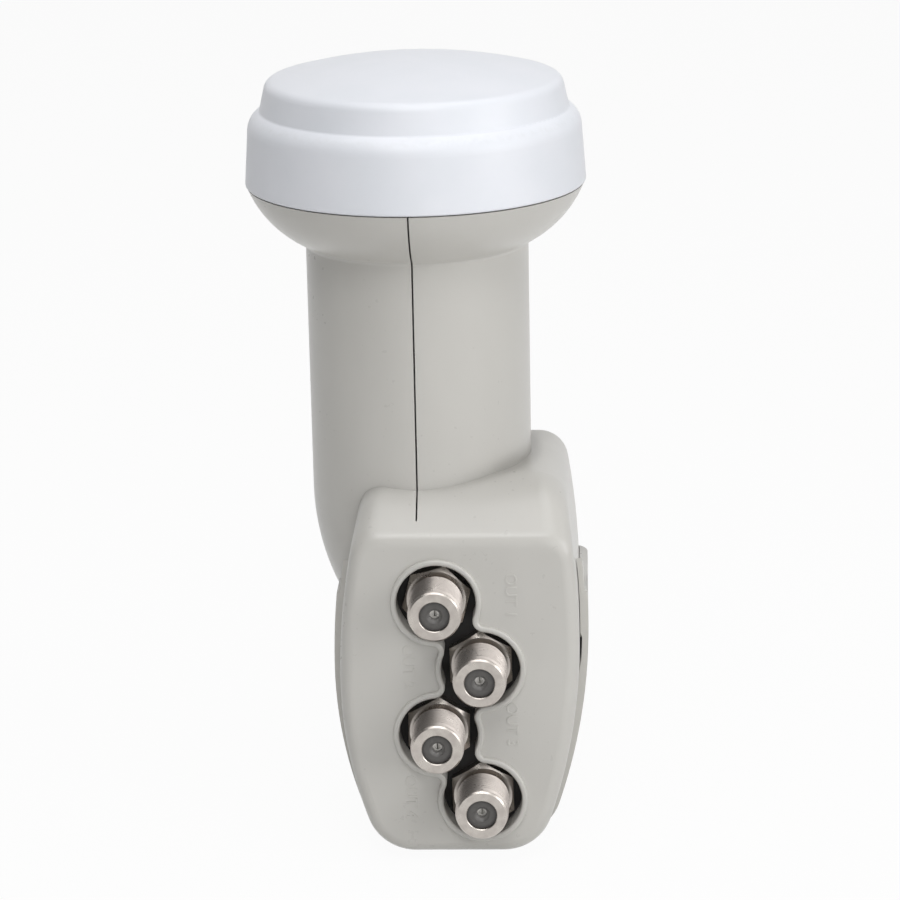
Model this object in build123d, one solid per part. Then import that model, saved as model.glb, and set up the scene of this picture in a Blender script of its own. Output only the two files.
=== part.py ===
from build123d import *
import os

# Four-output satellite converter head, in millimetres.
# X runs to the right, Y to the back and Z up the neck; the connectors face -Y.
# The origin is on the neck axis, half way along the straight length a clamp grips.

# Neck and flare
NECK_R = 20.0
NECK_TOP = 19.5
NECK_CORNER = 0.9
TAPER_TOP = -26.0
TAPER_END = -46.0
TAPER_IN = 4.6
FLARE_R = 30.15
FLARE_TOP = 30.0
FLARE_BULGE = 1.45
SHELL_WALL = 1.9
SEAM_GAP = 0.3
RIB_THICK = 1.6
FIT = 0.12

# Feed cap
CAP_OVERHANG = 0.3
CAP_LEAN = 0.72
CAP_SKIRT = 10.0
CAP_SHOULDER = 3.2
CAP_STEP_IN = 2.2
CAP_CROWN_LEAN = 1.2
CAP_CROWN = 5.2
CAP_DOME = 3.7
CAP_WALL = 1.6
CAP_STEP_ROUND = 0.45
CAP_EDGE_ROUND = 1.9
CAP_GAP = 0.2
SPIGOT_TALL = 6.8
BEAD_UP = 2.7
BEAD_HALF = 0.7
BEAD_DEEP = 0.8

# Housing behind the connectors
HOUSE_X = 7.2
HOUSE_TOP = -20.2
HOUSE_BOTTOM = -88.2
HALF_WIDE = 21.4
HALF_TOP_LEFT = 16.4
HALF_TOP_RIGHT = 18.6
WIDE_LEFT_Z = -56.0
WIDE_RIGHT_Z = -48.0
HALF_LOW_LEFT = 14.6
HALF_LOW_RIGHT = 13.7
LOW_CORNER = 9.0
FACE_Y = -28.0
REAR_Y = 16.0
BROW_DROP = 8.1
BROW_ROUND = 4.0
RIDGE_Y = -19.0
RIDGE_ROUND = 14.0
SHOULDER_ROUND = 5.5
BACK_ROUND = 4.5
EDGE_ROUND = 2.4
COVER_EDGE = 2.8
COVER_PLATE = 3.2
SKIRT_WALL = 1.5
SKIRT_BACK = -14.9
SHELL_END = -44.5
HOOD_LIP = 9.0
REAR_WALL = 1.5
REAR_TOP = -41.7
REAR_FRONT = -17.6
TAB_TOP = -35.4
TAB_STEP = 0.55
TAB_DEEP = 9.0
LATCH_TALL = 4.8
LATCH_GAP = 0.35
LATCH_Z = -52.8

# Connector group: two columns, stepped down the face
PORT_X = 7.13
PORT_HALF = 3.85
PORT_TOP = -40.05
PORT_PITCH = 12.47
HEX_TURNS = (-15.0, 1.0, -1.0, 1.0)
WINDOW_R = 7.05
WAIST_ROUND = 2.1
LIP_WIDE = 1.05
LIP_TALL = 0.8
LIP_ROUND = 0.4

# F connector
BARREL_R = 4.76
BARREL_LONG = 9.2
BARREL_CHAMFER = 0.6
HEX_FLATS = 11.0
HEX_FRONT = -26.5
STUD_R = 4.2
BORE_R = 2.7
BORE_DEEP = 0.6
FUNNEL = 0.5
PIN_DEEP = 2.1
PIN_SOCKET_R = 0.9
PIN_HOLE_R = 0.55
PIN_HOLE_DEEP = 8.0
PIN_TAIL_R = 0.5

# Metal box behind the cover
PLATE_FRONT = -23.2
PLATE_THICK = 3.7
GASKET_THICK = 1.1
TRAY_INSET = 2.4
TRAY_WALL = 1.8
TRAY_TOP = -28.0
TRAY_FLOOR = -13.0
FLOOR_THICK = 2.5
BOSS_R = 2.6
BOSS_EDGE = 0.4
SCREW_R = 1.2
SCREW_HEAD_R = 2.1
SCREW_HEAD_TALL = 1.5
BOARD_THICK = 0.8
BOARD_SCREW_R = 1.0
BOARD_HEAD_R = 1.8
BOARD_HEAD_TALL = 1.1

# Parts on the board
CHIP_SIDE = 7.0
CAN_LONG = 5.0
REGULATOR_LONG = 4.4
GAIN_LONG = 1.9
CHIP_LONG = 1.6
PAD_WIDE = 11.0
PAD_THICK = 1.0

# Waveguide and horn
GUIDE_R = 9.3
GUIDE_WALL = 2.2
GUIDE_END = -48.0
HORN_BASE = 31.0
HORN_BASE_THICK = 2.0
HORN_TALL = 11.5
HORN_RING = 1.2
HORN_INSET = 3.2
FLANGE_THICK = 3.1
SEAL_R = 0.8
PROBE_R = 0.64
PROBE_UPPER_Z = -34.5
PROBE_LOWER_Z = -43.0
BUSH_R = 2.0

# Values that follow from the sizes above
cap_rim = FLARE_TOP + CAP_GAP
cap_skirt_r = FLARE_R + CAP_OVERHANG
cap_shoulder_r = cap_skirt_r - CAP_LEAN
cap_shoulder_z = cap_rim + CAP_SKIRT
cap_crown_r = cap_shoulder_r - CAP_STEP_IN
cap_crown_z = cap_shoulder_z + CAP_SHOULDER
cap_edge_r = cap_crown_r - CAP_CROWN_LEAN
cap_edge_z = cap_crown_z + CAP_CROWN
cap_top = cap_edge_z + CAP_DOME
spigot_r = cap_shoulder_r - CAP_WALL - FIT
spigot_top = FLARE_TOP + SPIGOT_TALL
horn_r = spigot_r - HORN_INSET
neck_inner = NECK_R - SHELL_WALL
guide_outer = GUIDE_R + GUIDE_WALL
cover_back = FACE_Y + COVER_EDGE
barrel_front = HEX_FRONT - BARREL_LONG
plate_back = PLATE_FRONT + PLATE_THICK
gasket_front = PLATE_FRONT - GASKET_THICK
board_front = TRAY_FLOOR - BOARD_THICK
floor_back = TRAY_FLOOR + FLOOR_THICK
ports = [(PORT_X + PORT_HALF * (-1) ** (row + 1), PORT_TOP - PORT_PITCH * row) for row in range(4)]
far = 200.0
sliver = 0.0002


def corner(face, x, y):
    """The corner of a flat face nearest to a point."""
    return face.vertices().sort_by_distance((x, y, 0))[0]


def turned(face):
    """A flat profile spun about the neck axis."""
    return revolve(Plane.XZ * face, Axis.Z)


def ring(inner, outer, low, high):
    """A round band about the neck axis."""
    section = Pos((inner + outer) / 2, (low + high) / 2) * Rectangle(outer - inner, high - low)
    return turned(section)


def ahead(face, back, front):
    """A front-view face made solid between two depths."""
    return extrude(Plane.XZ.offset(-back) * face, back - front)


def rod(x, z, radius, back, front):
    """A round bar along the connector direction."""
    return ahead(Pos(x, z) * Circle(radius), back, front)


def slab(x_low, x_high, y_low, y_high, z_low, z_high):
    """A plain box given by its limits."""
    middle = Pos((x_low + x_high) / 2, (y_low + y_high) / 2, (z_low + z_high) / 2)
    return middle * Box(x_high - x_low, y_high - y_low, z_high - z_low)


def side_cut(low, high):
    """Everything between two heights."""
    return slab(-far, far, -far, far, low, high)


def depth_cut(low, high):
    """Everything between two depths."""
    return slab(-far, far, low, high, -far, far)


def flank(half_top, wide_z, half_low):
    """Right half of the housing in front view, with square corners."""
    half = Polyline((0, HOUSE_BOTTOM), (0, HOUSE_TOP), (half_top, HOUSE_TOP))
    half += TangentArc((HALF_WIDE, wide_z), (half_top, HOUSE_TOP), tangent=(0, 1))
    half += TangentArc((HALF_WIDE, wide_z), (half_low, HOUSE_BOTTOM), tangent=(0, -1))
    half += Line((half_low, HOUSE_BOTTOM), (0, HOUSE_BOTTOM))
    return make_face(half)


def outline(grow, top=HOUSE_TOP):
    """Front view of the housing, grown or shrunk all round, up to a given top."""
    face = flank(HALF_TOP_RIGHT, WIDE_RIGHT_Z, HALF_LOW_RIGHT)
    face = face + mirror(flank(HALF_TOP_LEFT, WIDE_LEFT_Z, HALF_LOW_LEFT), about=Plane.YZ)
    face = face & Pos(0, top - far / 2) * Rectangle(far, far)
    face = fillet(face.vertices().group_by(Axis.Y)[0], LOW_CORNER)
    face = fillet(face.vertices().group_by(Axis.Y)[-1], SHOULDER_ROUND)
    if grow:
        face = offset(face, grow)
    return Pos(HOUSE_X, 0) * face


def side_view():
    """Side view of the housing front: upright face, sloping brow and level top."""
    brow = (FACE_Y, HOUSE_TOP - BROW_DROP)
    ridge = (RIDGE_Y, HOUSE_TOP)
    face = make_face(Polyline((FACE_Y, -far), brow, ridge, (far, HOUSE_TOP), (far, -far), close=True))
    face = fillet(corner(face, *brow), BROW_ROUND)
    return fillet(corner(face, *ridge), RIDGE_ROUND)


def hood_top(depth):
    """Height of the hood at a depth, read from the side view."""
    strip = side_view() & Pos(depth, 0) * Rectangle(sliver, 2 * far)
    return strip.bounding_box().max.Y


def edge_inset(distance):
    """How far the rounded face edge has drawn in at a distance before its end."""
    reach = min(max(distance, 0), EDGE_ROUND)
    return EDGE_ROUND - (EDGE_ROUND ** 2 - reach ** 2) ** 0.5


def housing(inset):
    """The room inside the housing walls, or the plain block for no inset."""
    side = offset(side_view(), -inset) if inset else side_view()
    return extrude(Plane.YZ * side, far, both=True) & ahead(outline(-inset), REAR_Y - inset, FACE_Y)


def soft_housing():
    """The housing outside: a lofted hood and face, then a straight run to a rounded back."""
    brow_run = RIDGE_Y - FACE_Y
    brow_long = (brow_run ** 2 + BROW_DROP ** 2) ** 0.5
    hood_start = RIDGE_Y + RIDGE_ROUND * (brow_long - brow_run) / BROW_DROP
    edge_start = FACE_Y + EDGE_ROUND
    depths = [FACE_Y + EDGE_ROUND * share for share in (0, 0.05, 0.19, 0.41, 0.69, 1)]
    depths += [edge_start + (hood_start - edge_start) * share for share in (0.2, 0.4, 0.6, 0.8, 1)]
    sections = []
    for depth in depths:
        inset = edge_inset(edge_start - depth)
        sections.append(Plane.XZ.offset(-depth) * outline(-inset, hood_top(depth) + inset))
    rear = ahead(outline(0), REAR_Y, hood_start)
    rear = fillet(rear.edges().group_by(Axis.Y)[-1], BACK_ROUND)
    return loft(sections) + rear


def neck(inset, low):
    """The neck, its flare and its drawn-in lower end as one turned solid."""
    rim = FLARE_TOP - max(inset, 0)
    flare = FLARE_R - inset
    stem = NECK_R - inset
    slope = 0.5 ** 0.5
    mid_x = (flare + stem) / 2 + FLARE_BULGE * slope
    mid_z = (rim + NECK_TOP) / 2 - FLARE_BULGE * slope
    path = Polyline((0, spigot_top), (spigot_r - inset, spigot_top), (spigot_r - inset, rim), (flare, rim))
    path += ThreePointArc((flare, rim), (mid_x, mid_z), (stem, NECK_TOP))
    path += Line((stem, NECK_TOP), (stem, TAPER_TOP))
    path += TangentArc((stem, TAPER_TOP), (stem - TAPER_IN, low), tangent=(0, -1))
    path += Polyline((stem - TAPER_IN, low), (0, low), (0, spigot_top))
    profile = make_face(path)
    return turned(fillet(corner(profile, stem, NECK_TOP), NECK_CORNER))


def cap_profile(inset):
    """Half section of the cap, from its outside or from its inside."""
    base = cap_rim - (1 if inset else 0)
    skirt = cap_skirt_r - inset
    shoulder = cap_shoulder_r - inset
    crown = cap_crown_r - inset
    crown_z = cap_crown_z - inset
    edge_r = cap_edge_r - inset
    edge_z = cap_edge_z - inset
    top = cap_top - inset
    lean = (shoulder - skirt, cap_shoulder_z - base)
    path = Polyline((0, top), (0, base), (skirt, base), (shoulder, cap_shoulder_z))
    path += TangentArc((shoulder, cap_shoulder_z), (crown, crown_z), tangent=lean)
    path += Line((crown, crown_z), (edge_r, edge_z))
    path += TangentArc((0, top), (edge_r, edge_z), tangent=(1, 0))
    profile = make_face(path)
    profile = fillet(corner(profile, edge_r, edge_z), max(CAP_EDGE_ROUND - inset, 0.3))
    if inset:
        return profile
    return fillet(corner(profile, crown, crown_z), CAP_STEP_ROUND)


def cap_inside_r(z):
    """Inner radius of the cap skirt at a height."""
    return cap_skirt_r - CAP_WALL - CAP_LEAN * (z - cap_rim + 1) / (CAP_SKIRT + 1)


def make_cap():
    cap = turned(cap_profile(0)) - turned(cap_profile(CAP_WALL))
    rim_edge = cap.edges().group_by(Axis.Z)[0].sort_by(SortBy.LENGTH)[-1]
    cap = fillet(rim_edge, 0.35)
    level = cap_rim + BEAD_UP
    wall = cap_inside_r(level)
    root = wall + CAP_WALL / 2
    bead = Polyline((root, level - BEAD_HALF), (wall - BEAD_DEEP, level), (root, level + BEAD_HALF), close=True)
    return cap + turned(make_face(bead))


def window(grow):
    """Front view of the opening the connectors stand in, grown all round."""
    face = Sketch() + [Pos(x, z) * Circle(WINDOW_R + grow) for x, z in ports]
    for first, second in zip(ports, ports[1:]):
        start = Vector(*first)
        way = Vector(*second) - start
        reach = ((WINDOW_R + WAIST_ROUND) ** 2 - (way.length / 2) ** 2) ** 0.5
        side = Vector(-way.Y, way.X).normalized() * reach
        tips = (start + way / 2 + side, start + way / 2 - side)
        waist = make_face(Polyline(start, tips[0], start + way, tips[1], close=True))
        face += waist - [Pos(tip.X, tip.Y) * Circle(WAIST_ROUND - grow) for tip in tips]
    return face


def make_cover(body):
    cover = body & depth_cut(-far, cover_back)
    skirt = body - ahead(outline(-SKIRT_WALL), far, -far)
    skirt = skirt & depth_cut(cover_back - 0.5, SKIRT_BACK) & side_cut(-far, SHELL_END - FIT)
    inner = outline(-SHELL_WALL - FIT) & Pos(0, HOUSE_TOP - HOOD_LIP - far / 2 - FIT) * Rectangle(far, far)
    cover = cover + skirt + ahead(inner, FACE_Y + COVER_PLATE, cover_back - 0.5)
    opening = window(0)
    band = window(LIP_WIDE) - opening
    lip = ahead(band, FACE_Y + 0.5, FACE_Y - LIP_TALL)
    lip = fillet(lip.edges().group_by(Axis.Y)[0], LIP_ROUND)
    collar = ahead(band, gasket_front, FACE_Y + 0.5)
    return cover - ahead(opening, far, -far) + lip + collar


def make_shells(body):
    """Both neck shells, cut apart down the middle of the neck."""
    box = body & side_cut(SHELL_END, far) & depth_cut(cover_back, far)
    body = neck(0, TAPER_END) + box
    body = body - neck(SHELL_WALL, TAPER_END) - housing(SHELL_WALL)
    groove = cap_rim + BEAD_UP
    body = body - ring(spigot_r - BEAD_DEEP, far, groove - BEAD_HALF - FIT, groove + BEAD_HALF + FIT)
    for level in (NECK_TOP - 7, (NECK_TOP + HOUSE_TOP) / 2, HOUSE_TOP + 4):
        body = body + ring(guide_outer + FIT, neck_inner + SHELL_WALL / 2, level, level + RIB_THICK)
    left = body & slab(-far, -SEAM_GAP / 2, -far, far, -far, far)
    right = body & slab(SEAM_GAP / 2, far, -far, far, -far, far)
    return left, right


def make_rear():
    """The rear cover: a bucket round the lower housing, with tongues and hollowed for the neck."""
    outer = REAR_WALL + FIT
    block = ahead(outline(outer), REAR_Y + outer, REAR_FRONT)
    back_rim = block.edges().group_by(Axis.Y)[-1]
    block = fillet(back_rim, BACK_ROUND)
    block = block & side_cut(-far, REAR_TOP)
    root = REAR_TOP - TAB_STEP
    tongue = Polyline((REAR_FRONT, root), (REAR_FRONT, TAB_TOP), (REAR_FRONT + TAB_DEEP, root), close=True)
    tongue = extrude(Plane.YZ * make_face(tongue), far, both=True)
    block = block + (tongue & ahead(outline(outer - TAB_STEP), REAR_Y, REAR_FRONT))
    block = block - ahead(outline(FIT), REAR_Y + FIT, -far) - neck(-2 * FIT, TAPER_END - 2 * FIT)
    latch = ahead(outline(FIT + LATCH_GAP), REAR_FRONT + TAB_DEEP, -far)
    latch = latch & slab(HOUSE_X, far, -far, far, LATCH_Z - LATCH_TALL / 2, LATCH_Z + LATCH_TALL / 2)
    return block - latch


def make_horn():
    """Horn rings, waveguide, and the tray that holds the board."""
    base_top = HORN_BASE + HORN_BASE_THICK
    horn_top = HORN_BASE + HORN_TALL
    cast = ring(GUIDE_R, guide_outer, GUIDE_END, HORN_BASE + 0.5)
    cast += ring(GUIDE_R, horn_r, HORN_BASE, base_top)
    for step in range(4):
        inner = GUIDE_R + (horn_r - HORN_RING - GUIDE_R) * step / 3
        cast += ring(inner, inner + HORN_RING, base_top - 0.5, horn_top)
    cast += ring(horn_r - 0.5, flange_r, spigot_top, spigot_top + FLANGE_THICK)
    cast -= ring(seal_mid - SEAL_R, far, seal_z - SEAL_R - 0.03, seal_z + SEAL_R + 0.03)
    cast += ring(0, guide_outer, GUIDE_END - GUIDE_WALL, GUIDE_END)
    tray = ahead(tray_face(0), floor_back, plate_back)
    tray -= ahead(tray_face(TRAY_WALL), TRAY_FLOOR, -far)
    for x, z in boss_spots:
        tray += rod(x, z, BOSS_R, TRAY_FLOOR + 0.5, plate_back) & ahead(tray_face(0.5), far, -far)
        tray -= rod(x, z, SCREW_R + 0.05, TRAY_FLOOR + 1, -far)
    tray -= ahead(tray_face(0.45) - tray_face(1.15), plate_back + 0.6, -far)
    cast += tray
    cast -= ring(0, GUIDE_R, GUIDE_END, 0)
    for x, z in board_spots:
        cast -= rod(x, z, BOARD_SCREW_R + 0.05, floor_back - 0.6, -far)
    for z in (PROBE_UPPER_Z, PROBE_LOWER_Z):
        cast -= rod(0, z, BUSH_R + 0.03, -GUIDE_R + 1.5, -far) & depth_cut(TRAY_FLOOR - 0.1, far)
    return cast


def tray_face(inset):
    """Front view of the metal tray, shrunk by an inset."""
    top = TRAY_TOP - inset
    return outline(-TRAY_INSET - inset) & Pos(0, top - far / 2) * Rectangle(2 * far, far)


def beside(side, z):
    """A screw place at one side of the tray, as far out as its boss can stand."""
    level = tray_face(BOSS_R + BOSS_EDGE) & Pos(0, z) * Rectangle(2 * far, BOSS_EDGE)
    limits = level.bounding_box()
    return (limits.max.X if side > 0 else limits.min.X, z)


def share_spot(across, down):
    """A place on the board, in shares of the half width and of the outlet pitch."""
    return (HOUSE_X + HALF_WIDE * across, PORT_TOP - PORT_PITCH * down)


def make_plate():
    plate = ahead(tray_face(0), plate_back, PLATE_FRONT)
    room = tray_face(TRAY_WALL + 0.3)
    for z in (PORT_TOP - PORT_PITCH / 2, PORT_TOP - PORT_PITCH * 2.5):
        wall = Pos(HOUSE_X, z) * Rectangle(far, HORN_RING) & room
        plate += ahead(wall, board_front - 0.5, plate_back - 0.5)
    for x, z in ports:
        plate -= rod(x, z, STUD_R + 0.03, far, -far)
    for x, z in boss_spots:
        plate -= rod(x, z, SCREW_R + 0.2, far, -far)
        plate -= rod(x, z, BOSS_R + 0.3, far, plate_back)
    return plate


def make_gasket():
    pad = ahead(window(LIP_WIDE + 0.6) & tray_face(0), PLATE_FRONT, gasket_front)
    for x, z in ports:
        pad -= rod(x, z, STUD_R + 0.03, far, -far)
    return pad


def make_board():
    board = ahead(tray_face(TRAY_WALL + 0.3), TRAY_FLOOR, board_front)
    for x, z in boss_spots:
        board -= rod(x, z, BOSS_R + 0.3, far, -far)
    for x, z in board_spots:
        board -= rod(x, z, BOARD_SCREW_R + 0.1, far, -far)
    for z in (PROBE_UPPER_Z, PROBE_LOWER_Z):
        board -= rod(0, z, PROBE_R + 0.05, far, -far)
    return board


def make_screws(spots, radius, head_r, head_tall, seat, tip):
    """A set of round-headed screws with a cross slot, all seated at one depth."""
    screws = []
    for x, z in spots:
        screw = rod(x, z, radius, tip, seat) + rod(x, z, head_r, seat, seat - head_tall)
        top_rim = screw.edges().group_by(Axis.Y)[0]
        screw = fillet(top_rim, head_tall / 3)
        for turn in (0, 90):
            slot = Pos(x, z) * Rot(0, 0, turn) * Rectangle(head_r * 1.2, head_r * 0.25)
            screw -= ahead(slot, seat - head_tall / 2, -far)
        screws.append(screw)
    return Compound(screws)


def make_connector(x, z, turn):
    """Threaded outlet: hexagon, barrel and the stud that holds it in the plate."""
    hexagon = Pos(x, z) * Rot(0, 0, 30 + turn) * RegularPolygon(HEX_FLATS / 2, 6, major_radius=False)
    body = ahead(hexagon, gasket_front, HEX_FRONT)
    bevel = rod(x, z, HEX_FLATS * 0.56, gasket_front, HEX_FRONT)
    bevel = chamfer(bevel.edges().group_by(Axis.Y)[0], 0.45)
    barrel = rod(x, z, BARREL_R, gasket_front, barrel_front)
    barrel = chamfer(barrel.edges().group_by(Axis.Y)[0], BARREL_CHAMFER)
    stud = rod(x, z, STUD_R, plate_back + 0.7, gasket_front)
    body = (body & bevel) + barrel + stud
    return body - rod(x, z, BORE_R, far, -far)


def make_insulator(x, z):
    """The insert that fills the bore, with a funnel to lead the wire in."""
    insert = rod(x, z, BORE_R - 0.03, plate_back + 0.7, barrel_front + BORE_DEEP)
    insert = insert - rod(x, z, PIN_SOCKET_R + 0.02, far, -far)
    mouth = insert.edges().group_by(Axis.Y)[0].sort_by(SortBy.LENGTH)[0]
    return chamfer(mouth, FUNNEL)


def make_contact(x, z):
    tip = barrel_front + PIN_DEEP
    pin = rod(x, z, PIN_SOCKET_R, plate_back + 0.7, tip)
    pin += rod(x, z, PIN_TAIL_R, board_front, plate_back)
    return pin - rod(x, z, PIN_HOLE_R, tip + PIN_HOLE_DEEP, -far)


def on_board(spot, wide, tall, thick):
    """A flat part soldered to the front of the board."""
    return ahead(Pos(*spot) * Rectangle(wide, tall), board_front, board_front - thick)


def save(node, shape):
    export_step(shape, "parts/" + node + ".step")


# Places for screws and seals
flange_r = spigot_r - 0.2
seal_z = spigot_top + FLANGE_THICK / 2
seal_mid = cap_inside_r(seal_z) - SEAL_R - 0.02
boss_spots = []
for side in (-1, 1):
    boss_spots.append(beside(side, TRAY_TOP - BOSS_R - BOSS_EDGE))
for row, (x, z) in enumerate(ports):
    boss_spots.append(beside((-1) ** row, z))
board_spots = [share_spot(0.41, -0.6), share_spot(-0.46, 1.76), share_spot(0.38, 2.08)]

body = soft_housing()
left_shell, right_shell = make_shells(body)

os.makedirs("parts", exist_ok=True)
save("feed_cap", make_cap())
save("cap_seal", turned(Pos(seal_mid, seal_z) * Circle(SEAL_R)))
save("neck_shell_left", left_shell)
save("neck_shell_right", right_shell)
save("connector_cover", make_cover(body))
save("rear_cover", make_rear())
save("connector_gasket", make_gasket())
save("horn_casting", make_horn())
save("connector_plate", make_plate())
save("tray_seal", ahead(tray_face(0.5) - tray_face(1.1), plate_back + 0.6, plate_back))
save("rf_board", make_board())
plate_tip = TRAY_FLOOR - 1
save("plate_screws", make_screws(boss_spots, SCREW_R, SCREW_HEAD_R, SCREW_HEAD_TALL, PLATE_FRONT, plate_tip))
board_tip = floor_back - 0.8
save("board_screws", make_screws(board_spots, BOARD_SCREW_R, BOARD_HEAD_R, BOARD_HEAD_TALL, board_front, board_tip))

# Probes reach from the board into the waveguide
bush = rod(0, 0, BUSH_R, -GUIDE_R - 0.05, TRAY_FLOOR) - rod(0, 0, PROBE_R + 0.02, far, -far)
save("probe_bush_upper", Pos(0, 0, PROBE_UPPER_Z) * bush)
save("probe_bush_lower", Pos(0, 0, PROBE_LOWER_Z) * bush)
save("probe_upper", rod(0, PROBE_UPPER_Z, PROBE_R, -GUIDE_R / 2, board_front - 0.5))
bent = rod(0, PROBE_LOWER_Z, PROBE_R, 0, board_front - 0.5) + Pos(0, 0, PROBE_LOWER_Z) * Sphere(PROBE_R)
arm = Pos(GUIDE_R * 0.28, 0, PROBE_LOWER_Z) * Rot(0, 90, 0) * Cylinder(PROBE_R, GUIDE_R * 0.56)
save("probe_lower", bent + arm)

# Parts soldered to the board
save("converter_chip", on_board(share_spot(0.38, 1.5), CHIP_SIDE, CHIP_SIDE, CHIP_SIDE / 8))
save("crystal_can", on_board(share_spot(0.4, 0.16), CAN_LONG, CAN_LONG * 0.64, CAN_LONG * 0.22))
save("regulator", on_board(share_spot(-0.39, 1.28), REGULATOR_LONG, REGULATOR_LONG * 0.8, REGULATOR_LONG * 0.3))
gain_spots = [share_spot(-0.2, -0.62), share_spot(-0.03, -0.2), share_spot(-0.2, -0.28)]
gain_parts = [on_board(spot, GAIN_LONG, GAIN_LONG * 0.8, GAIN_LONG * 0.37) for spot in gain_spots]
save("amplifier_transistors", Compound(gain_parts))
chip_spots = [share_spot(0.24 + 0.125 * n, 0.64) for n in range(4)]
chip_spots += [share_spot(-0.65 + 0.125 * n, 0.32) for n in range(3)]
chips = [on_board(spot, CHIP_LONG, CHIP_LONG / 2, CHIP_LONG / 2) for spot in chip_spots]
save("chip_capacitors", Compound(chips))
pad_z = (TRAY_TOP + PORT_TOP) / 2
pad_face = Pos(HOUSE_X + PAD_WIDE * 0.41, pad_z) * Rectangle(PAD_WIDE, PAD_WIDE * 0.55)
save("absorber_pad", ahead(pad_face, plate_back + PAD_THICK, plate_back))

# Four outlets
for row, (x, z) in enumerate(ports):
    name = str(row + 1)
    save("f_connector_" + name, make_connector(x, z, HEX_TURNS[row]))
    save("f_insulator_" + name, make_insulator(x, z))
    save("f_contact_" + name, make_contact(x, z))
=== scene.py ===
import math

import bmesh
import bpy
from mathutils import Matrix, Vector


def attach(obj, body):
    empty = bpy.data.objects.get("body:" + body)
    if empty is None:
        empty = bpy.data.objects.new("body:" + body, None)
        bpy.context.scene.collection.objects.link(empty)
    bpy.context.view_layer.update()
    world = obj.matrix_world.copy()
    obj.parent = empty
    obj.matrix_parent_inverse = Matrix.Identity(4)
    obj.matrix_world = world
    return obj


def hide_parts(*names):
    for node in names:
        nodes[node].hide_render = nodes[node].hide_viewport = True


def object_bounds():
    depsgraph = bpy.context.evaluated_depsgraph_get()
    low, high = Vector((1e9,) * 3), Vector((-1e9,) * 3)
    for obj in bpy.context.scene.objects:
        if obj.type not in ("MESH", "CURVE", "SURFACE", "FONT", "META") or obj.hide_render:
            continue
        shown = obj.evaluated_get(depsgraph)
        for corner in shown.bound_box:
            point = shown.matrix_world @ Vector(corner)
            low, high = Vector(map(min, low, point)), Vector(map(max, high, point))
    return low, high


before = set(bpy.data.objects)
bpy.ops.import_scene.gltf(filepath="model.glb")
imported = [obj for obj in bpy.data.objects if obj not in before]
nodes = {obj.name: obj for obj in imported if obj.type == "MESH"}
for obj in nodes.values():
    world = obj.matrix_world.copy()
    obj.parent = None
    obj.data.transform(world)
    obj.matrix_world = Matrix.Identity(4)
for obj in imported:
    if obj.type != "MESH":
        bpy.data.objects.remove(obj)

# Looks for a four-output satellite converter head. Sizes are in millimetres, turned to metres by MM.
cad_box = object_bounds()
scene = bpy.context.scene
MM = 0.001
QUARTER_TURN = math.pi / 2

# Outlets, as the solids have them
PORT_MIDDLE = 7.13
PORT_SWING = 3.85
PORT_TOP = -40.05
PORT_PITCH = 12.47
PORTS = [(PORT_MIDDLE + PORT_SWING * (-1) ** (row + 1), PORT_TOP - PORT_PITCH * row) for row in range(4)]
HEX_TURNS = (-15.0, 1.0, -1.0, 1.0)
FACE_Y = -28.0
HEX_BACK = -24.3
HEX_FRONT = -26.5
HEX_FLATS = 11.0
BARREL_FRONT = -35.7
CREST_R = 4.76
ROOT_R = 4.24
BORE_R = 2.7
STUD_R = 4.2
STUD_BACK = -18.8
THREAD_PITCH = 0.794
THREAD_RELIEF = 0.5
THREAD_LEAD = 0.7
NOSE_R = 4.55
NOSE_LONG = 0.75
NOSE_CHAMFER = 0.28
BEVEL_R = 5.25
BEVEL_SLOPE = 0.55
BORE_EDGE = 0.12
OUTLET_SIDES = 96

# The thread's ridge: points in a turn, shares of its height and of the pitch, and its fade at the ends
RIDGE_STEPS = 48
RIDGE_TALL = 1.2
RIDGE_LIFT = 0.4
RIDGE_FOOT = 0.98
RIDGE_CREST = 0.16
RIDGE_FADE = 2.0
RIDGE_LEAST = 0.05

# Where a finish changes
# Height and width of the cap's darker line of dust and painted shade along its step's inside corner
CAP_JOINT_Z = 42.4
CAP_JOINT_WIDE = 0.9
# Reach of the occlusion probe and the height band of the painted shade in the crease at the neck's foot
CREASE_REACH = 5.0
CREASE_LOW = (-34.0, -28.0)
CREASE_HIGH = (-5.0, -15.0)
THREAD_START = (BARREL_FRONT + 0.6, BARREL_FRONT + 0.9)
THREAD_END = (HEX_FRONT + 0.1, HEX_FRONT - 0.3)
# Reaches from each outlet's axis, in millimetres, of the insert's painted highlight and painted shade
INSERT_HIGHLIGHT = (1.5, 0.7)
INSERT_SHADE = (2.0, 2.6)
SHARP_ANGLE = math.radians(25)

# Light, in metres and watts: each lamp's name, place, width and power
LAMPS = (
    ("top", (0.0, -0.12, 0.73), 0.9, 3.7),
    ("key", (0.627, -0.362, 0.174), 0.5, 1.8),
    ("front", (0.2, -0.69, 0.174), 0.5, 0.75),
    ("glint", (-0.03, -0.51, 0.55), 0.3, 1.15),
)
LAMP_AIM = (0, 0, -0.02)
SKY_LEVEL = 0.1
DIM_CORNER = (-0.62, -0.66, 0.42)
DIM_START = 0.45
DIM_FULL = 0.85
DIM_DEPTH = 0.85
FLOOR_HALF = 4.0
FLOOR_BELOW = 0.0002
PAPER_WHITE = 0.95

# The lens, in degrees and millimetres
LENS_TURN = 2.427
LENS_LIFT = 16.808
LENS_ROLL = -1.159
LENS_AWAY = 600.0
LENS_LONG = 131.088
LENS_TARGET = (5.139, 0, -20.340)
SENSOR_WIDE = 36.0
LENS_NEAR = 10.0
LENS_FAR = 20000.0

# Spring leaves that close the hole of each contact
LEAF_R = 0.54
LEAF_SLIT = 0.07
LEAF_THICK = 0.08
LEAF_FRONT = -33.5
LEAF_SINK = 0.22
LEAF_STEPS = 12

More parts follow.
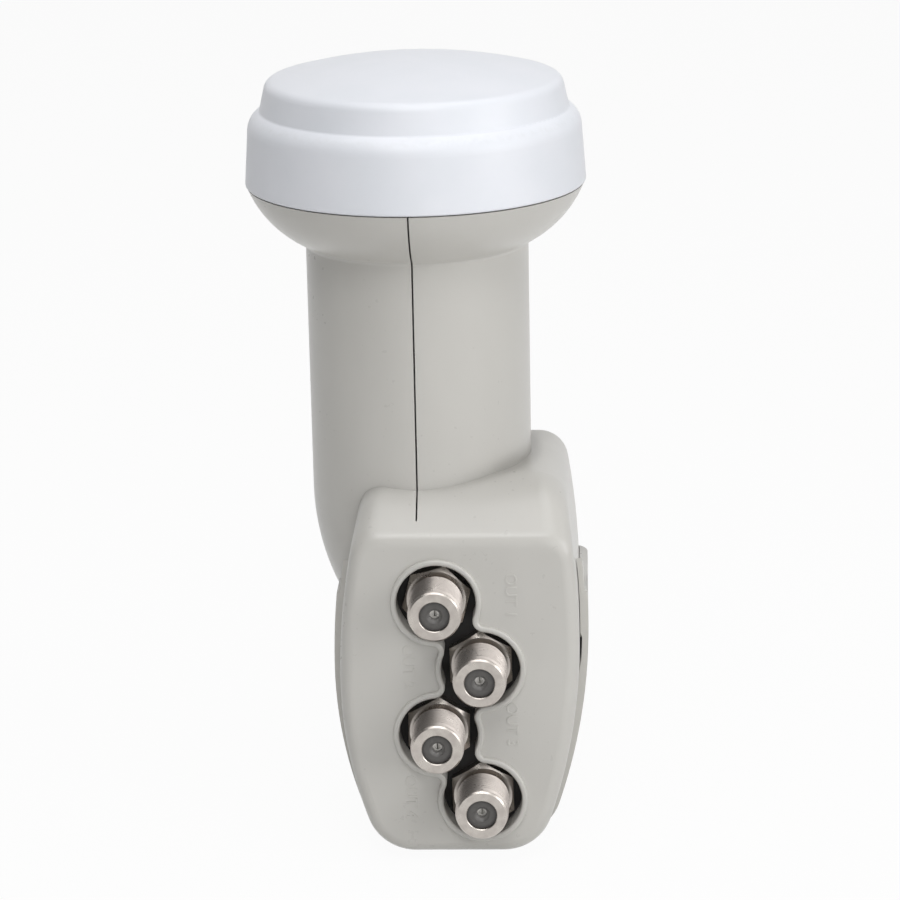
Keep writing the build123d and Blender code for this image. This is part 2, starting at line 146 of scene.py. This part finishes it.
# The rear cover's rim, cut away above this outline of (depth, height)
RIM_CUT = ((-8.6, -41.7), (8.0, -44.4), (30.0, -44.4), (30.0, -30.0), (-8.6, -30.0))
RIM_CUT_X = 60.0

# Raised marks on the face
MARK_SPOTS = ((16.48, -38.87), (-1.93, -52.12), (16.41, -63.26), (-1.96, -77.07))
MARK_SIZE = 2.9
MARK_RAISE = 0.065
MARK_EDGE = 0.03

# Points closer than this are one point, in metres
MERGE_MARKS = 1e-6
MERGE_COVER = 1e-7


class Wire:
    """A node's socket that works in plain sums; each sum adds a Math node."""

    def __init__(self, graph, socket):
        self.graph = graph
        self.socket = socket

    def maths(self, operation, *values):
        return self.graph.node("ShaderNodeMath", {"operation": operation}, *values)

    def __add__(self, other):
        return self.maths("ADD", self, other)

    def __sub__(self, other):
        return self.maths("SUBTRACT", self, other)

    def __rsub__(self, other):
        return self.maths("SUBTRACT", other, self)

    def __mul__(self, other):
        return self.maths("MULTIPLY", self, other)

    def __truediv__(self, other):
        return self.maths("DIVIDE", self, other)

    def __rtruediv__(self, other):
        return self.maths("DIVIDE", other, self)

    def __mod__(self, other):
        return self.maths("FLOORED_MODULO", self, other)

    def __abs__(self):
        return self.maths("ABSOLUTE", self)

    __radd__ = __add__
    __rmul__ = __mul__


class Graph:
    """A node tree, with one method that adds any node to it."""

    def __init__(self, tree):
        self.tree = tree

    def feed(self, socket, value):
        """Set a socket to a value, a link or, with a list, several links."""
        if isinstance(value, list):
            for part in value:
                self.feed(socket, part)
        elif isinstance(value, Wire):
            self.tree.links.new(value.socket, socket)
        elif value is not None:
            socket.default_value = value

    def node(self, kind, settings=None, *values, out=0, **named):
        """Any node: its type, settings first, then the values or links of its sockets; None skips one."""
        made = self.tree.nodes.new(kind)
        for key, value in (settings or {}).items():
            setattr(made, key, value)
        for socket, value in zip(made.inputs, values):
            self.feed(socket, value)
        for name, value in named.items():
            self.feed(made.inputs[name.replace("_", " ")], value)
        return Wire(self, made.outputs[out]) if made.outputs else None

    def ray(self, name):
        """1 where the light path is of this kind."""
        return self.node("ShaderNodeLightPath", out="Is " + name + " Ray")

    def smooth(self, value, low, high):
        """0 below low, 1 above high, eased between."""
        ease = {"interpolation_type": "SMOOTHSTEP"}
        return self.node("ShaderNodeMapRange", ease, value, low, high, 0.0, 1.0)


class Finish(Graph):
    """One procedural material on Object coordinates, with short ways to add its nodes."""

    def __init__(self, name):
        self.material = bpy.data.materials.new(name)
        self.material.use_nodes = True
        super().__init__(self.material.node_tree)
        self.tree.nodes.clear()
        place = self.node("ShaderNodeTexCoord", out="Object")
        self.mm = self.node("ShaderNodeVectorMath", {"operation": "SCALE"}, place, Scale=1 / MM)

    def axis(self, name):
        """One coordinate in millimetres."""
        return self.node("ShaderNodeSeparateXYZ", None, self.mm, out=name)

    def noise(self, size, detail=2.0, rough=0.5, stretch=None):
        """Soft noise about 0.5 whose blotches are near a size in millimetres."""
        spot = self.mm
        if stretch:
            spot = self.node("ShaderNodeMapping", None, spot, Scale=stretch)
        sizes = {"Scale": 1 / size, "Detail": detail, "Roughness": rough}
        return self.node("ShaderNodeTexNoise", None, Vector=spot, **sizes)

    def blend(self, share, first, second):
        """A colour between two colours."""
        unused = (None,) * 5
        return self.node("ShaderNodeMix", {"data_type": "RGBA"}, share, *unused, first, second, out=2)

    def bump(self, height, depth, strength):
        """A surface turned by a height map; depth is its rise in millimetres."""
        return self.node("ShaderNodeBump", None, Strength=strength, Distance=depth * MM, Height=height)

    def done(self, **sockets):
        """The plain shader with its sockets set, as the finished material."""
        return self.close(self.node("ShaderNodeBsdfPrincipled", None, out="BSDF", **sockets))

    def close(self, shader):
        """The output node on a shader, as the finished material."""
        self.node("ShaderNodeOutputMaterial", None, shader)
        return self.material


def tone(red, green, blue):
    """A colour given in the 0 to 255 numbers of a picture, as the shader needs it."""
    shares = [value / 255 for value in (red, green, blue)]
    return tuple(s / 12.92 if s <= 0.04045 else ((s + 0.055) / 1.055) ** 2.4 for s in shares) + (1.0,)


# Finishes


def cap_plastic():
    """Blue-white weatherproof plastic, satin, with a fine moulded grain, and dust with painted shade along
    the step's inside corner.
    """
    f = Finish("cap_plastic")
    cloud = f.noise(14, 3)
    fleck = f.noise(0.9, 2)
    grain = f.noise(0.16, 2, 0.6)
    colour = f.blend(f.smooth(cloud, 0.3, 0.7), tone(228, 231, 237), tone(232, 234, 240))
    # Dust and painted shade: a darker line along the step's inside corner, broken up by flecks
    near_joint = f.smooth(1 - abs(f.axis("Z") - CAP_JOINT_Z) / CAP_JOINT_WIDE, 0.0, 1.0)
    step_dust_and_shade = near_joint * f.smooth(fleck, 0.35, 0.7) * 0.1
    colour = f.blend(step_dust_and_shade, colour, tone(190, 190, 188))
    rough = 0.4 + (fleck - 0.5) * 0.1 + (cloud - 0.5) * 0.08
    skin = f.bump(grain, 0.012, 0.35)
    return f.done(Base_Color=colour, Roughness=rough, Normal=skin)


def housing_plastic():
    """Warm light grey moulded plastic: eroded-tool grain, faint flow clouds, painted shade in the crease at
    the neck's foot.
    """
    f = Finish("housing_plastic")
    cloud = f.noise(18, 3, 0.5, (1, 1, 0.45))
    fleck = f.noise(1.1, 2)
    grain = f.noise(0.19, 3, 0.65)
    colour = f.blend(f.smooth(cloud, 0.3, 0.7), tone(199, 197, 192), tone(203, 201, 196))
    dust = f.smooth(fleck, 0.66, 0.8) * 0.03
    colour = f.blend(dust, colour, tone(170, 168, 162))
    # Painted shade: the base colour darkens where the occlusion probe finds the crease, within a band of
    # heights at the neck's foot
    probe = {"samples": 8, "only_local": True}
    open_sky = f.node("ShaderNodeAmbientOcclusion", probe, Distance=CREASE_REACH * MM, out="AO")
    level = f.axis("Z")
    crease_shade_band = f.smooth(level, *CREASE_LOW) * f.smooth(level, *CREASE_HIGH)
    colour = f.blend(f.smooth(1 - open_sky, 0.05, 0.4) * crease_shade_band * 0.4, colour, tone(110, 107, 102))
    rough = 0.3 + (fleck - 0.5) * 0.1 + (cloud - 0.5) * 0.05
    skin = f.bump(grain, 0.014, 0.4)
    return f.done(Base_Color=colour, Roughness=rough, Normal=skin)


def rubber():
    """Black sealing rubber with a dusty bloom."""
    f = Finish("rubber")
    bloom = f.smooth(f.noise(1.6, 4, 0.6), 0.4, 0.75)
    pits = f.noise(0.22, 2)
    colour = f.blend(bloom, tone(20, 18, 17), tone(38, 35, 33))
    return f.done(Base_Color=colour, Roughness=0.62 + bloom * 0.2, Normal=f.bump(pits, 0.03, 0.5))


def cast_metal():
    """Die-cast aluminium: mottled grey skin with small pits."""
    f = Finish("cast_aluminium")
    mottle = f.noise(2.4, 4, 0.6)
    pits = f.smooth(f.noise(0.5, 3), 0.62, 0.75)
    colour = f.blend(mottle, tone(150, 151, 152), tone(186, 187, 189))
    rough = 0.42 + mottle * 0.16 + pits * 0.15
    skin = f.bump(mottle * 0.6 + (1 - pits) * 0.4, 0.05, 0.5)
    return f.done(Base_Color=colour, Metallic=1.0, Roughness=rough, Normal=skin)


def nickel():
    """Bright nickel on turned brass: fine rings about the outlet axis, handling marks, a duller thread."""
    f = Finish("nickel")
    depth = f.axis("Y")
    haze = f.noise(1.8, 3, 0.6)
    rings = f.node("ShaderNodeTexNoise", {"noise_dimensions": "1D"}, W=depth, Scale=9.0, Detail=2.0)
    scuff = f.noise(0.35, 2, 0.6)
    colour = f.blend(f.smooth(haze, 0.3, 0.75), tone(197, 191, 184), tone(180, 173, 167))
    thread = f.smooth(depth, *THREAD_START) * f.smooth(depth, *THREAD_END)
    colour = f.blend(thread * 0.35, colour, tone(148, 139, 136))
    rough = 0.2 + haze * 0.12 + scuff * 0.06
    skin = f.bump(rings * 0.6 + scuff * 0.4, 0.01, 0.35)
    return f.done(Base_Color=colour, Metallic=1.0, Roughness=rough, Normal=skin)


def insulator_grey():
    """Dark grey outlet insert: a faint moulded cloud, with a painted highlight at the contact and painted
    shade at its edge.
    """
    f = Finish("insulator_grey")
    cloud = f.noise(0.8, 3)
    flat = f.node("ShaderNodeVectorMath", {"operation": "MULTIPLY"}, f.mm, (1, 0, 1))
    reach = PORT_PITCH
    for x, z in PORTS:
        from_axis = f.node("ShaderNodeVectorMath", {"operation": "DISTANCE"}, flat, (x, 0, z), out="Value")
        reach = from_axis.maths("MINIMUM", from_axis, reach)
    colour = f.blend(cloud, tone(70, 68, 66), tone(98, 96, 94))
    # Painted highlight: paler towards the contact
    colour = f.blend(f.smooth(reach, *INSERT_HIGHLIGHT) * 0.7, colour, tone(140, 138, 136))
    # Painted shade: darker towards the edge of the bore
    colour = f.blend(f.smooth(reach, *INSERT_SHADE) * 0.6, colour, tone(38, 35, 34))
    return f.done(Base_Color=colour, Roughness=0.35 + cloud * 0.2, Normal=f.bump(cloud, 0.02, 0.4))


def contact_metal():
    """Tinned spring contact, slightly uneven."""
    f = Finish("contact_metal")
    haze = f.noise(0.4, 3)
    colour = f.blend(haze, tone(206, 203, 198), tone(228, 226, 221))
    skin = f.bump(haze, 0.01, 0.4)
    return f.done(Base_Color=colour, Metallic=1.0, Roughness=0.4 + haze * 0.2, Normal=skin)


def board_laminate():
    """Green lacquered circuit board: copper tracks under the lacquer and a faint glass weave."""
    f = Finish("board_laminate")
    weave_x = f.node("ShaderNodeTexWave", {"bands_direction": "X"}, f.mm, Scale=1.6, Distortion=0.4)
    weave_z = f.node("ShaderNodeTexWave", {"bands_direction": "Z"}, f.mm, Scale=1.6, Distortion=0.4)
    bend = f.noise(7, 1) * 9
    track = f.smooth(abs((f.axis("X") + bend) % 2.4 - 1.2), 0.62, 0.7)
    colour = f.blend(track, tone(24, 84, 52), tone(38, 112, 66))
    colour = f.blend((weave_x * weave_z) * 0.25, colour, tone(20, 64, 42))
    return f.done(Base_Color=colour, Roughness=0.3 + weave_x * 0.12, Normal=f.bump(track, 0.03, 0.6))


def screw_steel():
    """Bright zinc screws with rolled lines and a hint of yellow."""
    f = Finish("screw_steel")
    haze = f.noise(1.2, 3)
    lines = f.noise(0.2, 2, 0.5, (1, 0.15, 1))
    colour = f.blend(haze, tone(196, 197, 196), tone(214, 211, 198))
    skin = f.bump(lines, 0.015, 0.4)
    return f.done(Base_Color=colour, Metallic=1.0, Roughness=0.26 + haze * 0.15, Normal=skin)


def white_ptfe():
    """Waxy white bush."""
    f = Finish("white_ptfe")
    cloud = f.noise(1.5, 3)
    colour = f.blend(cloud, tone(228, 227, 222), tone(240, 240, 237))
    return f.done(Base_Color=colour, Roughness=0.42 + cloud * 0.12, Normal=f.bump(cloud, 0.02, 0.3))


def probe_brass():
    """Drawn brass wire."""
    f = Finish("probe_brass")
    lines = f.noise(0.25, 2, 0.5, (1, 0.1, 1))
    colour = f.blend(lines, tone(190, 152, 84), tone(214, 178, 108))
    skin = f.bump(lines, 0.01, 0.4)
    return f.done(Base_Color=colour, Metallic=1.0, Roughness=0.22 + lines * 0.16, Normal=skin)


def chip_black():
    """Moulded epoxy with a fine mica speckle."""
    f = Finish("chip_black")
    speck = f.smooth(f.noise(0.18, 2), 0.6, 0.72)
    cloud = f.noise(1.4, 2)
    colour = f.blend(speck, tone(27, 27, 28), tone(52, 52, 53))
    return f.done(Base_Color=colour, Roughness=0.5 + cloud * 0.2, Normal=f.bump(speck, 0.01, 0.4))


def can_metal():
    """Brushed metal can."""
    f = Finish("can_metal")
    brush = f.noise(0.3, 3, 0.5, (0.08, 1, 1))
    colour = f.blend(brush, tone(186, 186, 182), tone(214, 213, 209))
    skin = f.bump(brush, 0.01, 0.4)
    return f.done(Base_Color=colour, Metallic=1.0, Roughness=0.24 + brush * 0.18, Normal=skin)


def chip_tan():
    """Tan ceramic chips."""
    f = Finish("chip_tan")
    cloud = f.noise(0.6, 3)
    colour = f.blend(cloud, tone(176, 142, 104), tone(198, 166, 126))
    return f.done(Base_Color=colour, Roughness=0.4 + cloud * 0.2, Normal=f.bump(cloud, 0.01, 0.3))


def absorber():
    """Grey microwave foam with open cells."""
    f = Finish("absorber")
    cells = f.node("ShaderNodeTexVoronoi", None, Vector=f.mm, Scale=3.2)
    colour = f.blend(cells, tone(34, 34, 36), tone(74, 74, 76))
    return f.done(Base_Color=colour, Roughness=0.85 + cells * 0.1, Normal=f.bump(cells, 0.1, 0.7))


FINISHES = {
    "cap_plastic": cap_plastic(),
    "housing_plastic": housing_plastic(),
    "rubber": rubber(),
    "cast_aluminium": cast_metal(),
    "board_laminate": board_laminate(),
    "screw_steel": screw_steel(),
    "white_ptfe": white_ptfe(),
    "probe_brass": probe_brass(),
    "chip_black": chip_black(),
    "can_metal": can_metal(),
    "chip_tan": chip_tan(),
    "absorber": absorber(),
    "nickel": nickel(),
    "insulator_grey": insulator_grey(),
    "contact_metal": contact_metal(),
}
for node in nodes.values():
    slot_name = node.data.materials[0].name
    node.data.materials[0] = FINISHES[slot_name]


# Outlets with a real thread


def hex_reach(angle):
    """Distance from the axis to the hexagon's side, with a corner straight up."""
    sixth = math.pi / 3
    off_flat = (angle + sixth) % sixth - sixth / 2
    return HEX_FLATS / 2 / math.cos(off_flat)


def outlet_rings():
    """The outlet's section from the bore at its back round to the front, as rings of (reach, depth)."""
    rings = []

    def plain(radius, depth):
        rings.append(lambda angle: (radius, depth))

    plain(BORE_R, STUD_BACK)
    plain(STUD_R, STUD_BACK)
    plain(STUD_R, HEX_BACK)
    rings.append(lambda angle: (hex_reach(angle), HEX_BACK))
    rings.append(lambda angle: (hex_reach(angle), HEX_FRONT + (hex_reach(angle) - BEVEL_R) * BEVEL_SLOPE))
    plain(BEVEL_R, HEX_FRONT)
    plain(ROOT_R, HEX_FRONT)
    plain(ROOT_R, BARREL_FRONT + NOSE_LONG)
    plain(NOSE_R, BARREL_FRONT + NOSE_LONG - NOSE_CHAMFER)
    plain(NOSE_R, BARREL_FRONT + NOSE_CHAMFER)
    plain(NOSE_R - NOSE_CHAMFER, BARREL_FRONT)
    plain(BORE_R + BORE_EDGE, BARREL_FRONT)
    plain(BORE_R, BARREL_FRONT + BORE_EDGE)
    return rings


def outlet_body():
    """The turned part of an outlet about the Y axis, without its thread."""
    rings = outlet_rings()
    shape = bmesh.new()
    loops = []
    for ring in rings:
        loop = []
        for step in range(OUTLET_SIDES):
            angle = 2 * math.pi * step / OUTLET_SIDES
            reach, depth = ring(angle)
            spot = Vector((reach * math.sin(angle), depth, reach * math.cos(angle)))
            loop.append(shape.verts.new(spot * MM))
        loops.append(loop)
    for first, second in zip(loops, loops[1:] + loops[:1]):
        for step in range(OUTLET_SIDES):
            after = (step + 1) % OUTLET_SIDES
            shape.faces.new((first[step], second[step], second[after], first[after]))
    bmesh.ops.recalc_face_normals(shape, faces=shape.faces)
    mesh = bpy.data.meshes.new("outlet_body")
    shape.to_mesh(mesh)
    shape.free()
    return mesh


def outlet_tree():
    """Nodes that wind a ridge along a helix on an outlet's body, then set the outlet in its place."""
    tree = bpy.data.node_groups.new("threaded_outlet", "GeometryNodeTree")
    face = tree.interface
    face.new_socket("Body", in_out="INPUT", socket_type="NodeSocketGeometry")
    face.new_socket("Place", in_out="INPUT", socket_type="NodeSocketVector")
    for name in ("Turn", "Pitch", "Root Radius", "Crest Radius", "Thread Back", "Thread Long"):
        face.new_socket(name, in_out="INPUT", socket_type="NodeSocketFloat")
    face.new_socket("Metal", in_out="INPUT", socket_type="NodeSocketMaterial")
    face.new_socket("Outlet", in_out="OUTPUT", socket_type="NodeSocketGeometry")
    graph = Graph(tree)
    entry = tree.nodes.new("NodeGroupInput")
    given = {socket.name: Wire(graph, socket) for socket in entry.outputs if socket.name}
    pitch, root, long = given["Pitch"], given["Root Radius"], given["Thread Long"]
    turns = long / pitch
    spiral = graph.node("GeometryNodeCurveSpiral", None, RIDGE_STEPS, turns, root, root, long)
    spiral = graph.node("GeometryNodeSetCurveNormal", {"mode": "Z_UP"}, spiral)
    tall = given["Crest Radius"] - root
    sizes = {
        "Height": tall * RIDGE_TALL,
        "Bottom Width": pitch * RIDGE_FOOT,
        "Top Width": pitch * RIDGE_CREST,
        "Offset": 0.0,
    }
    ridge = graph.node("GeometryNodeCurvePrimitiveQuadrilateral", {"mode": "TRAPEZOID"}, **sizes)
    lift = graph.node("ShaderNodeCombineXYZ", None, 0.0, tall * RIDGE_LIFT, 0.0)
    ridge = graph.node("GeometryNodeTransform", None, ridge, lift)
    ridge = graph.node("GeometryNodeTransform", None, ridge, Rotation=(0.0, 0.0, QUARTER_TURN))
    share = graph.node("GeometryNodeSplineParameter", out="Factor")
    near_end = share.maths("MINIMUM", share, 1 - share)
    fade = graph.node("ShaderNodeClamp", None, near_end * turns * RIDGE_FADE, RIDGE_LEAST, 1.0)
    thread = graph.node("GeometryNodeCurveToMesh", None, spiral, ridge, fade, True)
    start = graph.node("ShaderNodeCombineXYZ", None, 0.0, given["Thread Back"], 0.0)
    thread = graph.node("GeometryNodeTransform", None, thread, start, (QUARTER_TURN, 0.0, 0.0))
    joined = graph.node("GeometryNodeJoinGeometry", None, [given["Body"], thread])
    turn = graph.node("ShaderNodeCombineXYZ", None, 0.0, given["Turn"], 0.0)
    set_down = graph.node("GeometryNodeTransform", None, joined, given["Place"], turn)
    real = graph.node("GeometryNodeRealizeInstances", None, set_down)
    plated = graph.node("GeometryNodeSetMaterial", None, real, Material=given["Metal"])
    graph.node("NodeGroupOutput", None, plated)
    return tree


def plain_mesh(holder):
    """The mesh that a linked object ends up with; the object then goes away."""
    ready = holder.evaluated_get(bpy.context.evaluated_depsgraph_get())
    mesh = bpy.data.meshes.new_from_object(ready)
    bpy.data.objects.remove(holder)
    return mesh


def settle(holder, tree, values):
    """A plain mesh from a node tree run on a holder object."""
    modifier = holder.modifiers.new("make", "NODES")
    modifier.node_group = tree
    entries = [item for item in tree.interface.items_tree if item.in_out == "INPUT"]
    keys = {item.name: item.identifier for item in entries}
    for name, value in values.items():
        modifier[keys[name]] = value
    scene.collection.objects.link(holder)
    return plain_mesh(holder)


def add_piece(name, mesh):
    """A piece of the object that rides on its one body."""
    mesh.name = name
    piece = bpy.data.objects.new(name, mesh)
    scene.collection.objects.link(piece)
    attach(piece, "root")
    return piece


def make_outlets():
    """The four outlets, each in place of its plain solid."""
    tree = outlet_tree()
    body = outlet_body()
    for row, (x, z) in enumerate(PORTS):
        node_name = "f_connector_" + str(row + 1)
        values = {
            "Place": Vector((x, 0, z)) * MM,
            "Turn": -math.radians(HEX_TURNS[row]),
            "Pitch": THREAD_PITCH * MM,
            "Root Radius": ROOT_R * MM,
            "Crest Radius": CREST_R * MM,
            "Thread Back": (HEX_FRONT - THREAD_RELIEF) * MM,
            "Thread Long": (HEX_FRONT - BARREL_FRONT - THREAD_RELIEF - THREAD_LEAD) * MM,
            "Metal": FINISHES["nickel"],
        }
        mesh = settle(bpy.data.objects.new("outlet_holder", body), tree, values)
        mesh.shade_smooth()
        mesh.set_sharp_from_angle(angle=SHARP_ANGLE)
        outlet = add_piece("threaded_outlet_" + str(row + 1), mesh)
        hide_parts(node_name)


make_outlets()


# Spring leaves in the contacts


def close_slab(shape, first, second):
    """Faces between two like loops of points, and one over each."""
    shape.faces.new(first)
    shape.faces.new(second)
    for step in range(len(first)):
        shape.faces.new((first[step - 1], first[step], second[step], second[step - 1]))
    bmesh.ops.recalc_face_normals(shape, faces=shape.faces)


def leaf_outline(side):
    """Half a disc beside the slit as (x, z, sink), sunk towards the slit."""
    spots = []
    start = math.asin(LEAF_SLIT / LEAF_R)
    for step in range(LEAF_STEPS + 1):
        angle = start + (math.pi - 2 * start) * step / LEAF_STEPS
        x = LEAF_R * math.sin(angle)
        spots.append((side * x, LEAF_R * math.cos(angle), LEAF_SINK * (1 - x / LEAF_R)))
    return spots


def make_leaves():
    """Two leaves in each contact, which a cable's wire would push apart."""
    shape = bmesh.new()
    for x, z in PORTS:
        for side in (-1, 1):
            layers = []
            for depth in (LEAF_FRONT, LEAF_FRONT + LEAF_THICK):
                spots = [Vector((x + a, depth + sink, z + b)) * MM for a, b, sink in leaf_outline(side)]
                layers.append([shape.verts.new(spot) for spot in spots])
            close_slab(shape, *layers)
    bmesh.ops.triangulate(shape, faces=shape.faces)
    mesh = bpy.data.meshes.new("contact_leaves")
    shape.to_mesh(mesh)
    shape.free()
    mesh.materials.append(FINISHES["contact_metal"])
    add_piece("contact_leaves", mesh)


make_leaves()


# The rear cover's rim runs down towards the back


def trim_rear():
    """A copy of the rear cover with its rim cut to a slope behind the tongues."""
    source = nodes["rear_cover"]
    shape = bmesh.new()
    shape.from_mesh(source.data)
    shape.transform(source.matrix_world)
    bmesh.ops.remove_doubles(shape, verts=shape.verts, dist=MERGE_COVER)
    whole = bpy.data.meshes.new("rear_whole")
    shape.to_mesh(whole)
    shape.clear()
    ends = []
    for x in (-RIM_CUT_X, RIM_CUT_X):
        ends.append([shape.verts.new(Vector((x, y, z)) * MM) for y, z in RIM_CUT])
    close_slab(shape, *ends)
    wedge = bpy.data.meshes.new("rim_wedge")
    shape.to_mesh(wedge)
    shape.free()
    cutter = bpy.data.objects.new("rim_cutter", wedge)
    holder = bpy.data.objects.new("rear_holder", whole)
    scene.collection.objects.link(cutter)
    scene.collection.objects.link(holder)
    cut = holder.modifiers.new("cut", "BOOLEAN")
    cut.operation = "DIFFERENCE"
    cut.solver = "EXACT"
    cut.object = cutter
    mesh = plain_mesh(holder)
    bpy.data.objects.remove(cutter)
    mesh.materials.clear()
    mesh.materials.append(FINISHES["housing_plastic"])
    mesh.shade_smooth()
    mesh.set_sharp_from_angle(angle=SHARP_ANGLE)
    cover = add_piece("sloped_rear_cover", mesh)
    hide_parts("rear_cover")


trim_rear()


# Raised marks beside the outlets


def word_mesh(words):
    """Flat-lying raised lettering as a mesh, centred on its own middle."""
    curve = bpy.data.curves.new("mark", "FONT")
    curve.body = words
    curve.size = MARK_SIZE * MM
    curve.extrude = MARK_RAISE * MM
    curve.bevel_depth = MARK_EDGE * MM
    curve.align_x = "CENTER"
    curve.align_y = "CENTER"
    holder = bpy.data.objects.new("mark_holder", curve)
    scene.collection.objects.link(holder)
    return plain_mesh(holder)


def make_marks():
    """The word OUT and a number beside each outlet, reading downwards."""
    downwards = Matrix(((0, 1, 0), (0, 0, -1), (-1, 0, 0))).to_4x4()
    shape = bmesh.new()
    for row, (x, z) in enumerate(MARK_SPOTS):
        mesh = word_mesh("OUT " + str(row + 1))
        mesh.transform(Matrix.Translation(Vector((x, FACE_Y, z)) * MM) @ downwards)
        shape.from_mesh(mesh)
    bmesh.ops.remove_doubles(shape, verts=shape.verts, dist=MERGE_MARKS)
    mesh = bpy.data.meshes.new("port_marks")
    shape.to_mesh(mesh)
    shape.free()
    mesh.materials.clear()
    mesh.materials.append(FINISHES["housing_plastic"])
    add_piece("port_marks", mesh)


make_marks()


# Stage and light


def floor_finish():
    """Pale floor that reads as white paper to the lens and to polished metal, and keeps the shadow."""
    f = Finish("paper_floor")
    fibre = f.noise(3.0, 3)
    seen = f.node("ShaderNodeClamp", None, f.ray("Camera") + f.ray("Glossy") + f.ray("Transmission"))
    colour = f.blend(fibre, tone(232, 232, 231), tone(236, 236, 235))
    paper = f.node("ShaderNodeBsdfDiffuse", None, out="BSDF", Color=colour)
    glow = f.node("ShaderNodeEmission", None, out="Emission", Strength=1.0)
    return f.close(f.node("ShaderNodeMixShader", None, seen * PAPER_WHITE, paper, glow))


def make_floor():
    """A wide floor just under the object."""
    mesh = bpy.data.meshes.new("floor")
    low = cad_box[0].z - FLOOR_BELOW
    around = ((-1, -1), (1, -1), (1, 1), (-1, 1))
    corners = [(FLOOR_HALF * x, FLOOR_HALF * y, low) for x, y in around]
    mesh.from_pydata(corners, [], [(0, 1, 2, 3)])
    mesh.materials.append(floor_finish())
    floor = bpy.data.objects.new("floor", mesh)
    scene.collection.objects.link(floor)


def make_world():
    """Soft even light, a white surround for the lens and for polished metal, and one dim corner."""
    world = bpy.data.worlds.new("studio")
    scene.world = world
    world.use_nodes = True
    world.node_tree.nodes.clear()
    graph = Graph(world.node_tree)
    lens, mirror, clear = (graph.ray(name) for name in ("Camera", "Glossy", "Transmission"))
    toward = graph.node("ShaderNodeTexCoord", out="Generated")
    dot = {"operation": "DOT_PRODUCT"}
    facing = graph.node("ShaderNodeVectorMath", dot, toward, DIM_CORNER, out="Value")
    polished = mirror * (1 - graph.smooth(facing, DIM_START, DIM_FULL) * DIM_DEPTH)
    shown = graph.node("ShaderNodeClamp", None, lens + clear + polished)
    plain = 1 - graph.node("ShaderNodeClamp", None, lens + clear + mirror)
    level = shown + plain * SKY_LEVEL
    back = graph.node("ShaderNodeBackground", None, (1, 1, 1, 1), level, out="Background")
    graph.node("ShaderNodeOutputWorld", None, back)


def make_lamp(name, place, size, power):
    """A round soft lamp turned to the object."""
    lamp = bpy.data.lights.new(name, "AREA")
    lamp.shape = "DISK"
    lamp.size = size
    lamp.energy = power
    holder = bpy.data.objects.new(name, lamp)
    holder.location = place
    holder.rotation_mode = "QUATERNION"
    holder.rotation_quaternion = (Vector(LAMP_AIM) - Vector(place)).to_track_quat("-Z", "Y")
    scene.collection.objects.link(holder)


def make_camera():
    """The lens stands where the photograph was taken from, a little above and to the right."""
    turn, lift, roll = (math.radians(v) for v in (LENS_TURN, LENS_LIFT, LENS_ROLL))
    away = Vector((math.sin(turn) * math.cos(lift), -math.cos(turn) * math.cos(lift), math.sin(lift)))
    right = Vector((math.cos(turn), math.sin(turn), 0))
    up = away.cross(right)
    level_right = math.cos(roll) * right + math.sin(roll) * up
    level_up = math.cos(roll) * up - math.sin(roll) * right
    data = bpy.data.cameras.new("lens")
    data.sensor_width = SENSOR_WIDE
    data.lens = LENS_LONG
    data.clip_start = LENS_NEAR * MM
    data.clip_end = LENS_FAR * MM
    holder = bpy.data.objects.new("lens", data)
    axes = Matrix((level_right, level_up, away)).transposed().to_4x4()
    stand = (Vector(LENS_TARGET) + away * LENS_AWAY) * MM
    holder.matrix_world = Matrix.Translation(stand) @ axes
    scene.collection.objects.link(holder)
    scene.camera = holder


make_floor()
make_world()
for lamp_row in LAMPS:
    make_lamp(*lamp_row)
make_camera()
scene.view_settings.view_transform = "Standard"
